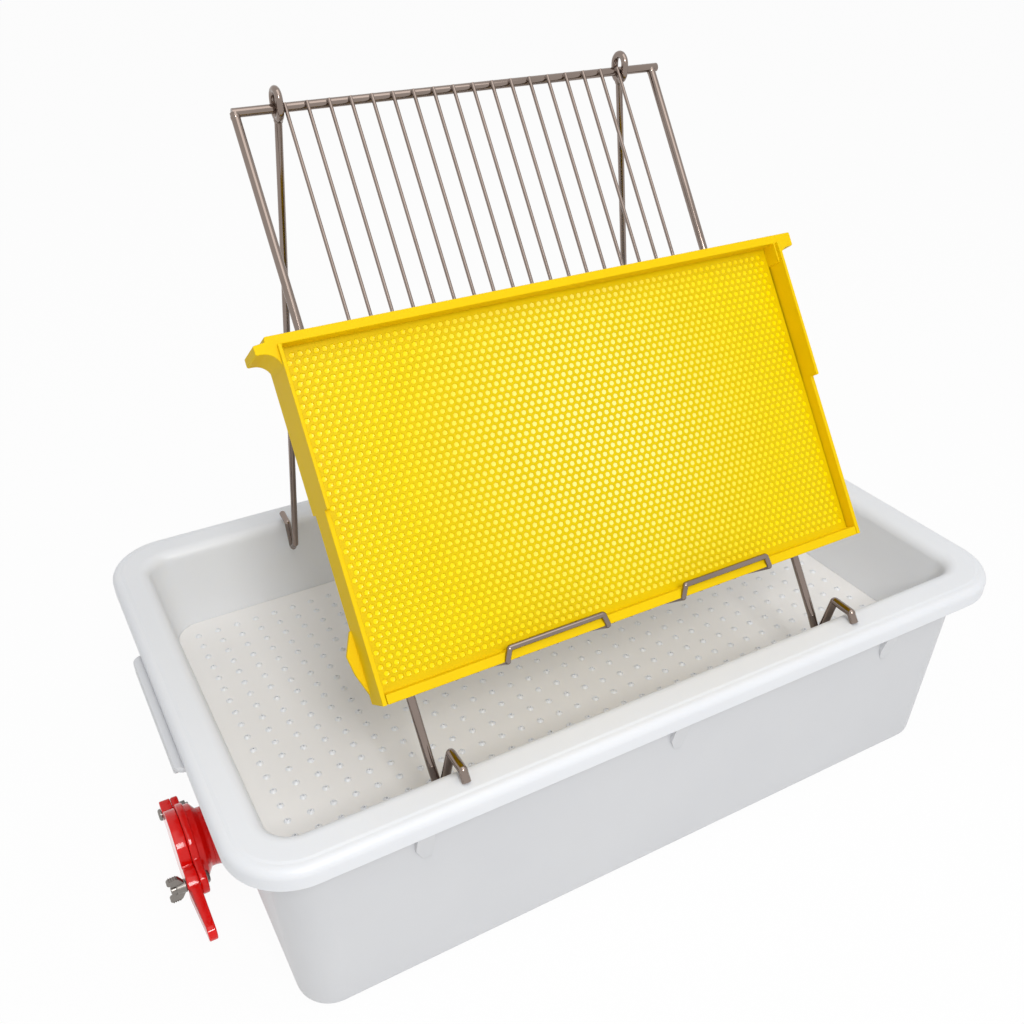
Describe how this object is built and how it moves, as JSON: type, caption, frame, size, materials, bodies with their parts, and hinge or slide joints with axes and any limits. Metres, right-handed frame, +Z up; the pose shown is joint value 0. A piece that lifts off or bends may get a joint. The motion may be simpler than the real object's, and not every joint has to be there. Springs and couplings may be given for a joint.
{
  "type": "uncapping tank",
  "caption": "Rectangular white plastic uncapping tank with a strainer tray, a side honey gate and a folding wire stand that holds a hive frame at a slant.",
  "frame": {"origin": "centre of the tank's base, on the table", "axes": "+X along the tank's length away from the gate, +Y from the front rim to the back rim, +Z up"},
  "size_m": [0.6427, 0.3798, 0.5162],
  "materials": {
    "polyethylene": "satin moulded polyethylene",
    "gate_red": "glossy moulded plastic",
    "rubber": "matt rubber",
    "zinc": "zinc plated",
    "stainless": "polished stainless wire",
    "comb_yellow": "satin moulded plastic"
  },
  "bodies": {
    "tank": {"tank": "polyethylene", "gate_body": "gate_red", "gate_collar": "gate_red", "gate_gasket": "rubber", "gate_lock_nut": "gate_red", "gate_seal": "rubber", "pivot_bolt": "zinc", "pivot_nut": "zinc", "clamp_bolt": "zinc"},
    "gate_blade": {"gate_blade": "gate_red"},
    "wing_nut": {"wing_nut": "zinc"},
    "tray": {"tray": "polyethylene", "strainer_floor": "polyethylene"},
    "stand": {"top_rod": "stainless", "left_side_rod": "stainless", "right_side_rod": "stainless", "lower_cross_rod": "stainless", "grid_wires": "stainless", "left_rest": "stainless", "right_rest": "stainless"},
    "left_leg": {"left_leg": "stainless"},
    "right_leg": {"right_leg": "stainless"},
    "comb": {"comb_frame": "comb_yellow", "comb_foundation": "comb_yellow"}
  },
  "joints": [
    {"name": "gate_swing", "type": "hinge", "parent": "tank", "child": "gate_blade", "pos_m": [-0.3145, 0.02, 0.034], "axis": [-1, 0, 0], "range_deg": [0, 85]},
    {"name": "wing_nut_turn", "type": "hinge", "parent": "tank", "child": "wing_nut", "pos_m": [-0.3223, -0.052, 0.034], "axis": [-1, 0, 0], "continuous": true},
    {"name": "tray_lift", "type": "slide", "parent": "tank", "child": "tray", "axis": [0, 0, 1], "range_m": [0, 0.12]},
    {"name": "stand_lift", "type": "slide", "parent": "tray", "child": "stand", "axis": [0, 0, 1], "range_m": [0, 0.1]},
    {"name": "left_leg_fold", "type": "hinge", "parent": "stand", "child": "left_leg", "pos_m": [-0.1442, 0.094, 0.5025], "axis": [-1, 0, 0], "range_deg": [0, 38]},
    {"name": "right_leg_fold", "type": "hinge", "parent": "stand", "child": "right_leg", "pos_m": [0.1142, 0.094, 0.5025], "axis": [-1, 0, 0], "range_deg": [0, 38]},
    {"name": "comb_lift", "type": "slide", "parent": "stand", "child": "comb", "axis": [0, 0.5764, 0.8171], "range_m": [0, 0.12]}
  ]
}
